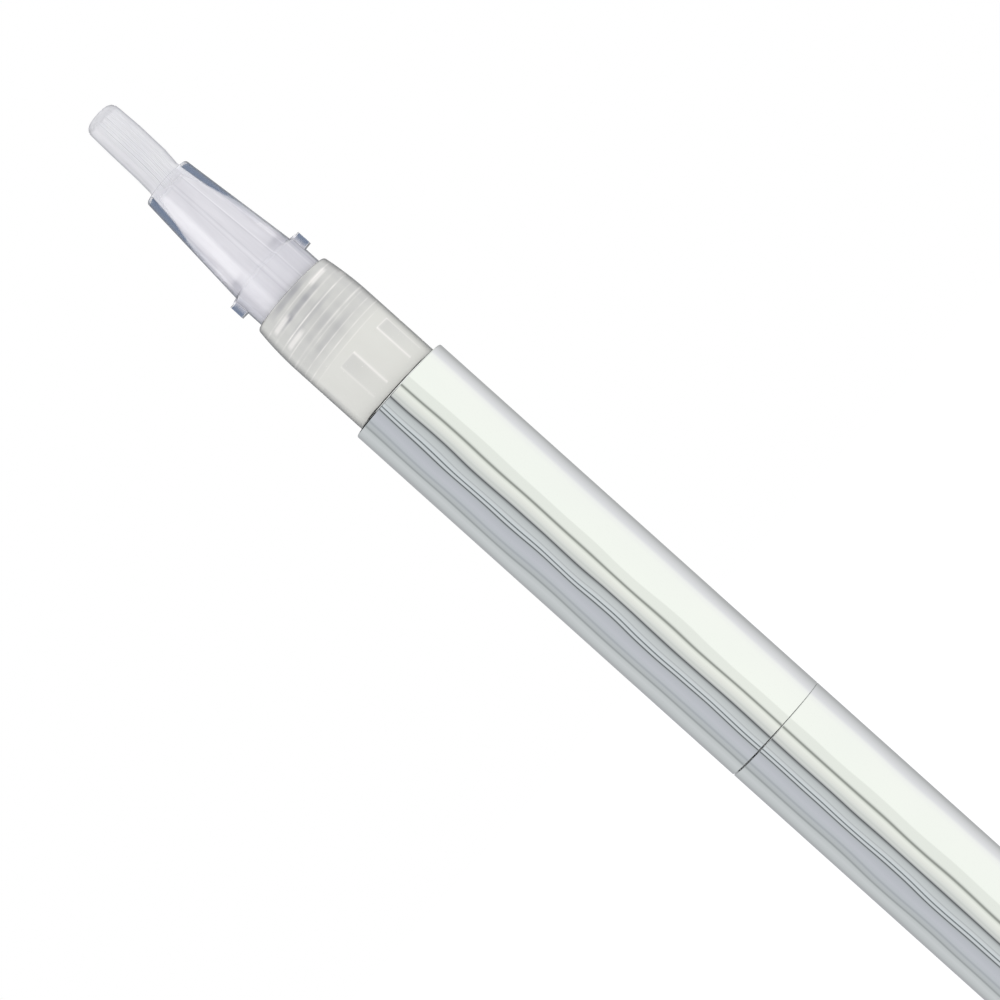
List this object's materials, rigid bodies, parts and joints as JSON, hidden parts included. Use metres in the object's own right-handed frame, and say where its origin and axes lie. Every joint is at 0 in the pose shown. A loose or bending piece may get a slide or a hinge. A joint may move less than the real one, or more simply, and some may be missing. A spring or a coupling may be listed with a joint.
{
  "type": "nail oil pen",
  "caption": "Twist-up pen with a bright two-part barrel, frosted collar and clear conical ferrule, feeding a small nylon brush.",
  "frame": {"origin": "centre of the flat tail end, on the plane that the pen stands on", "axes": "+Z along the pen's axis towards the brush tip; +X and -X through the ferrule's side lugs"},
  "size_m": [0.011, 0.011, 0.127],
  "materials": {
    "bristles": "translucent nylon bristles",
    "bush_plastic": "natural translucent plastic",
    "feed_plastic": "natural translucent plastic",
    "clear_plastic": "clear moulded plastic",
    "frosted_plastic": "frosted translucent plastic",
    "reservoir_plastic": "natural translucent plastic",
    "bright_aluminium": "mirror polished",
    "ivory_plastic": "self-lubricating moulded plastic",
    "white_plastic": "moulded plastic",
    "washer_plastic": "slick natural plastic",
    "seal_rubber": "satin",
    "spring_brass": "stamped spring bronze",
    "seal_soft": "soft natural silicone"
  },
  "bodies": {
    "barrel": {"brush": "bristles", "brush_bush": "bush_plastic", "feed_tube": "feed_plastic", "feed_plug": "feed_plastic", "ferrule": "clear_plastic", "collar": "frosted_plastic", "reservoir_tube": "reservoir_plastic", "front_sleeve": "bright_aluminium", "rod_nut": "ivory_plastic", "ratchet_ring": "white_plastic", "thrust_washer": "washer_plastic", "drag_ring": "seal_rubber"},
    "knob": {"knob_sleeve": "bright_aluminium", "knob_core": "white_plastic", "drive_tube": "ivory_plastic", "click_spring": "spring_brass", "end_plug": "bright_aluminium"},
    "rod": {"screw_rod": "ivory_plastic"},
    "piston": {"piston_core": "white_plastic", "piston_seal": "seal_soft"}
  },
  "joints": [
    {"name": "knob_twist", "type": "hinge", "parent": "barrel", "child": "knob", "pos_m": [0, 0, 0], "axis": [0, 0, 1], "range_deg": [0, 5040]},
    {"name": "rod_advance", "type": "slide", "parent": "knob", "child": "rod", "axis": [0, 0, 1], "range_m": [0, 0.035]},
    {"name": "piston_advance", "type": "slide", "parent": "barrel", "child": "piston", "axis": [0, 0, 1], "range_m": [0, 0.035]}
  ],
  "couplings": [
    {"joint": "rod_advance", "follows": "knob_twist", "m_per_rad": 0.00039789},
    {"joint": "piston_advance", "follows": "knob_twist", "m_per_rad": 0.00039789}
  ]
}
